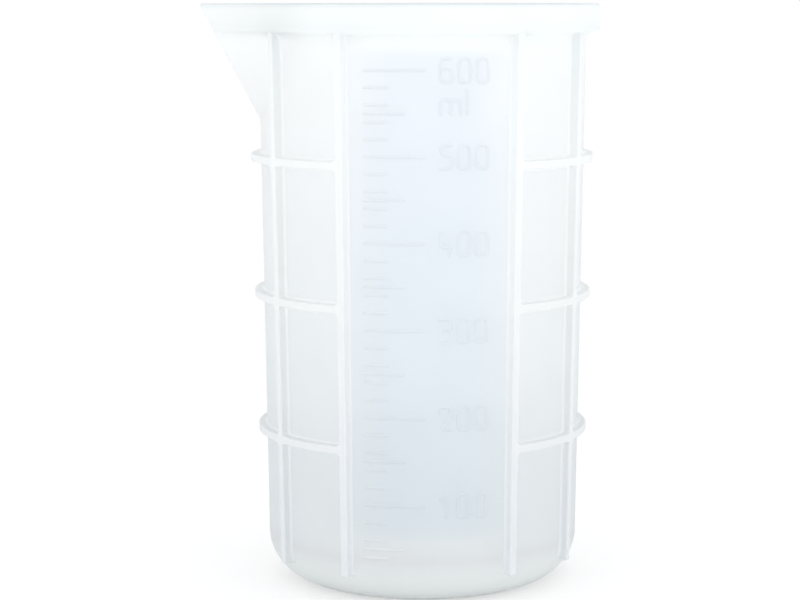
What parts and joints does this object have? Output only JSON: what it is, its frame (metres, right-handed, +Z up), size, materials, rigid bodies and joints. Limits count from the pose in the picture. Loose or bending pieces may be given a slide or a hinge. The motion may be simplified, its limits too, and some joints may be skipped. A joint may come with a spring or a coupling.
{
  "type": "resin mixing cup",
  "caption": "Tall round mixing cup in milky translucent rubber with a pouring spout, a thick rim collar, outside ribs and hoops, and a raised volume scale.",
  "frame": {"origin": "centre of the flat underside that the cup stands on, on the axis of its round wall", "axes": "+Z up along the cup's axis, -X out through the pouring spout, -Y out through the panel with the volume scale"},
  "size_m": [0.1016, 0.0904, 0.148],
  "materials": {
    "wall_silicone": "milky translucent silicone rubber, moulded satin",
    "thick_silicone": "milky silicone rubber where it is thick, moulded satin",
    "scale_silicone": "raised marks in the same milky silicone rubber"
  },
  "bodies": {
    "root": {"cup_floor": "wall_silicone", "cup_wall": "wall_silicone", "front_left_rib": "thick_silicone", "front_right_rib": "thick_silicone", "left_front_rib": "thick_silicone", "left_rear_rib": "thick_silicone", "lower_front_left_hoop": "thick_silicone", "lower_front_right_hoop": "thick_silicone", "lower_left_hoop": "thick_silicone", "lower_rear_left_hoop": "thick_silicone", "lower_rear_right_hoop": "thick_silicone", "lower_right_hoop": "thick_silicone", "middle_front_left_hoop": "thick_silicone", "middle_front_right_hoop": "thick_silicone", "middle_left_hoop": "thick_silicone", "middle_rear_left_hoop": "thick_silicone", "middle_rear_right_hoop": "thick_silicone", "middle_right_hoop": "thick_silicone", "pouring_spout": "wall_silicone", "rear_left_rib": "thick_silicone", "rear_right_rib": "thick_silicone", "right_front_rib": "thick_silicone", "right_rear_rib": "thick_silicone", "rim_collar": "thick_silicone", "rounded_base_edge": "wall_silicone", "scale_long_marks": "scale_silicone", "scale_numerals": "scale_silicone", "scale_short_marks": "scale_silicone", "scale_unit": "scale_silicone", "upper_front_left_hoop": "thick_silicone", "upper_front_right_hoop": "thick_silicone", "upper_left_hoop": "thick_silicone", "upper_rear_left_hoop": "thick_silicone", "upper_rear_right_hoop": "thick_silicone", "upper_right_hoop": "thick_silicone"}
  },
  "joints": []
}
